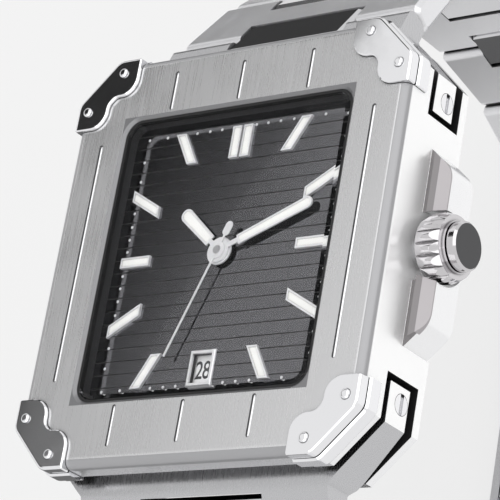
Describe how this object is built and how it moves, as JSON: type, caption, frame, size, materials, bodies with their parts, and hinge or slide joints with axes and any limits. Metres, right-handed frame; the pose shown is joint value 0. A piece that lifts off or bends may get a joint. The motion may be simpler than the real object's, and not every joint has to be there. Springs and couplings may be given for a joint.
{
  "type": "wristwatch",
  "caption": "Square steel wristwatch with cut corners, polished corner guards, a grooved dark dial, fluted crown and a tapering link bracelet closed by a folding clasp.",
  "frame": {"origin": "centre of the case back's flat outer face", "axes": "+Z out of the dial, +Y towards twelve o'clock, +X towards the crown"},
  "size_m": [0.0452, 0.087, 0.0686],
  "materials": {
    "brushed_steel": "brushed along the length",
    "polished_steel": "mirror polished",
    "blasted_steel": "fine matt",
    "crystal": "clear, flat",
    "black_seal": "matt",
    "ring_black": "satin",
    "dial_grey": "sunburst satin",
    "lume": "matt white",
    "disc_white": "satin",
    "brass": "nickel-free, satin",
    "movement_plate": "fine matt",
    "movement_plastic": "moulded",
    "board": "solder mask",
    "copper": "wound wire",
    "magnet": "sintered"
  },
  "bodies": {
    "case": {"case_middle": "brushed_steel", "bezel": "brushed_steel", "guard_12_right": "polished_steel", "guard_12_left": "polished_steel", "guard_6_right": "polished_steel", "guard_6_left": "polished_steel", "guard_studs": "polished_steel", "crystal": "crystal", "crystal_gasket": "black_seal", "inner_ring": "ring_black", "dial": "dial_grey", "hour_markers": "polished_steel", "marker_lume": "lume", "date_frame": "polished_steel", "movement_plate": "movement_plate", "movement_holder": "movement_plastic", "circuit_board": "board", "battery": "polished_steel", "stepper_coil": "copper", "train_bridge": "movement_plate", "crown_tube": "blasted_steel", "case_back": "brushed_steel", "back_gasket": "black_seal", "back_screws": "polished_steel", "lug_screws": "polished_steel"},
    "hours": {"hour_hand": "polished_steel", "hour_hand_lume": "lume", "hour_wheel": "brass"},
    "minutes": {"minute_hand": "polished_steel", "minute_hand_lume": "lume", "cannon_pinion": "brass"},
    "seconds": {"seconds_hand": "polished_steel", "seconds_arbor": "brass"},
    "date": {"date_disc": "disc_white"},
    "rotor": {"step_rotor": "magnet"},
    "stem_clip": {"stem_clip": "blasted_steel"},
    "crown": {"crown": "polished_steel", "stem": "blasted_steel"},
    "end_link_12": {"end_link_12": "brushed_steel"},
    "end_link_6": {"end_link_6": "brushed_steel"},
    "link_12_1": {"link_12_1": "brushed_steel"},
    "link_12_2": {"link_12_2": "brushed_steel"},
    "link_12_3": {"link_12_3": "brushed_steel"},
    "link_12_4": {"link_12_4": "brushed_steel"},
    "link_12_5": {"link_12_5": "brushed_steel"},
    "link_12_6": {"link_12_6": "brushed_steel"},
    "link_12_7": {"link_12_7": "brushed_steel"},
    "link_12_8": {"link_12_8": "brushed_steel"},
    "link_6_1": {"link_6_1": "brushed_steel"},
    "link_6_2": {"link_6_2": "brushed_steel"},
    "link_6_3": {"link_6_3": "brushed_steel"},
    "link_6_4": {"link_6_4": "brushed_steel"},
    "link_6_5": {"link_6_5": "brushed_steel"},
    "link_6_6": {"link_6_6": "brushed_steel"},
    "link_6_7": {"link_6_7": "brushed_steel"},
    "long_blade": {"long_blade": "brushed_steel"},
    "short_blade": {"short_blade": "brushed_steel"},
    "clasp_cover": {"clasp_cover": "brushed_steel"},
    "pusher_right": {"pusher_right": "polished_steel"},
    "pusher_left": {"pusher_left": "polished_steel"}
  },
  "joints": [
    {"name": "seconds_turn", "type": "hinge", "parent": "case", "child": "seconds", "pos_m": [0, 0, 0.0092], "axis": [0, 0, -1], "continuous": true},
    {"name": "minutes_turn", "type": "hinge", "parent": "case", "child": "minutes", "pos_m": [0, 0, 0.009], "axis": [0, 0, -1], "continuous": true},
    {"name": "hours_turn", "type": "hinge", "parent": "case", "child": "hours", "pos_m": [0, 0, 0.0088], "axis": [0, 0, -1], "continuous": true},
    {"name": "date_turn", "type": "hinge", "parent": "case", "child": "date", "pos_m": [0, 0, 0.00765], "axis": [0, 0, -1], "continuous": true},
    {"name": "rotor_turn", "type": "hinge", "parent": "case", "child": "rotor", "pos_m": [0.0062, -0.0054, 0.0037], "axis": [0, 0, -1], "continuous": true},
    {"name": "crown_pull", "type": "slide", "parent": "case", "child": "stem_clip", "axis": [1, 0, 0], "range_m": [0, 0.001]},
    {"name": "crown_turn", "type": "hinge", "parent": "stem_clip", "child": "crown", "pos_m": [0.022, 0, 0.00415], "axis": [1, 0, 0], "continuous": true},
    {"name": "end_link_12_lift", "type": "hinge", "parent": "case", "child": "end_link_12", "pos_m": [0, 0.01485, 0.00405], "axis": [1, 0, 0], "range_deg": [0, 3]},
    {"name": "end_link_6_lift", "type": "hinge", "parent": "case", "child": "end_link_6", "pos_m": [0, -0.01485, 0.00405], "axis": [-1, 0, 0], "range_deg": [0, 3]},
    {"name": "link_12_1_open", "type": "hinge", "parent": "end_link_12", "child": "link_12_1", "pos_m": [0, 0.02345, 0.0039], "axis": [1, 0, 0], "range_deg": [0, 14]},
    {"name": "link_12_2_open", "type": "hinge", "parent": "link_12_1", "child": "link_12_2", "pos_m": [0, 0.03089, -0.00151], "axis": [1, 0, 0], "range_deg": [0, 8]},
    {"name": "link_12_3_open", "type": "hinge", "parent": "link_12_2", "child": "link_12_3", "pos_m": [0, 0.03751, -0.0079], "axis": [1, 0, 0], "range_deg": [0, 13]},
    {"name": "link_12_4_open", "type": "hinge", "parent": "link_12_3", "child": "link_12_4", "pos_m": [0, 0.04252, -0.01561], "axis": [1, 0, 0], "range_deg": [0, 13]},
    {"name": "link_12_5_open", "type": "hinge", "parent": "link_12_4", "child": "link_12_5", "pos_m": [0, 0.04567, -0.02426], "axis": [1, 0, 0], "range_deg": [0, 24]},
    {"name": "link_12_6_open", "type": "hinge", "parent": "link_12_5", "child": "link_12_6", "pos_m": [0, 0.04503, -0.03344], "axis": [1, 0, 0], "range_deg": [0, 12]},
    {"name": "link_12_7_open", "type": "hinge", "parent": "link_12_6", "child": "link_12_7", "pos_m": [0, 0.04249, -0.04228], "axis": [1, 0, 0], "range_deg": [0, 16]},
    {"name": "link_12_8_open", "type": "hinge", "parent": "link_12_7", "child": "link_12_8", "pos_m": [0, 0.03762, -0.05008], "axis": [1, 0, 0], "range_deg": [0, 36]},
    {"name": "blade_open", "type": "hinge", "parent": "link_12_8", "child": "long_blade", "pos_m": [0, 0.02909, -0.05353], "axis": [1, 0, 0], "range_deg": [0, 20]},
    {"name": "link_6_1_open", "type": "hinge", "parent": "end_link_6", "child": "link_6_1", "pos_m": [0, -0.02345, 0.0039], "axis": [-1, 0, 0], "range_deg": [0, 20]},
    {"name": "link_6_2_open", "type": "hinge", "parent": "link_6_1", "child": "link_6_2", "pos_m": [0, -0.03029, -0.00226], "axis": [-1, 0, 0], "range_deg": [0, 16]},
    {"name": "link_6_3_open", "type": "hinge", "parent": "link_6_2", "child": "link_6_3", "pos_m": [0, -0.03516, -0.01006], "axis": [-1, 0, 0], "range_deg": [0, 16]},
    {"name": "link_6_4_open", "type": "hinge", "parent": "link_6_3", "child": "link_6_4", "pos_m": [0, -0.0377, -0.0189], "axis": [-1, 0, 0], "range_deg": [0, 14]},
    {"name": "link_6_5_open", "type": "hinge", "parent": "link_6_4", "child": "link_6_5", "pos_m": [0, -0.03802, -0.0281], "axis": [-1, 0, 0], "range_deg": [0, 12]},
    {"name": "link_6_6_open", "type": "hinge", "parent": "link_6_5", "child": "link_6_6", "pos_m": [0, -0.03642, -0.03716], "axis": [-1, 0, 0], "range_deg": [0, 12]},
    {"name": "link_6_7_open", "type": "hinge", "parent": "link_6_6", "child": "link_6_7", "pos_m": [0, -0.03298, -0.04569], "axis": [-1, 0, 0], "range_deg": [0, 16]},
    {"name": "clasp_unfold", "type": "hinge", "parent": "long_blade", "child": "short_blade", "pos_m": [0, -0.02119, -0.05423], "axis": [-1, 0, 0], "range_deg": [0, 110]},
    {"name": "cover_unfold", "type": "hinge", "parent": "short_blade", "child": "clasp_cover", "pos_m": [0, 0.02359, -0.05523], "axis": [1, 0, 0], "range_deg": [0, 110]},
    {"name": "pusher_right_press", "type": "slide", "parent": "clasp_cover", "child": "pusher_right", "axis": [-1, 0, 0], "range_m": [0, 0.0005], "stiffness_N_per_m": 400},
    {"name": "pusher_left_press", "type": "slide", "parent": "clasp_cover", "child": "pusher_left", "axis": [1, 0, 0], "range_m": [0, 0.0005], "stiffness_N_per_m": 400}
  ],
  "couplings": [
    {"joint": "minutes_turn", "follows": "seconds_turn", "ratio": 0.016667},
    {"joint": "hours_turn", "follows": "seconds_turn", "ratio": 0.0013889},
    {"joint": "date_turn", "follows": "seconds_turn", "ratio": 0.000022401},
    {"joint": "rotor_turn", "follows": "seconds_turn", "ratio": 30},
    {"joint": "cover_unfold", "follows": "clasp_unfold", "ratio": 1}
  ]
}
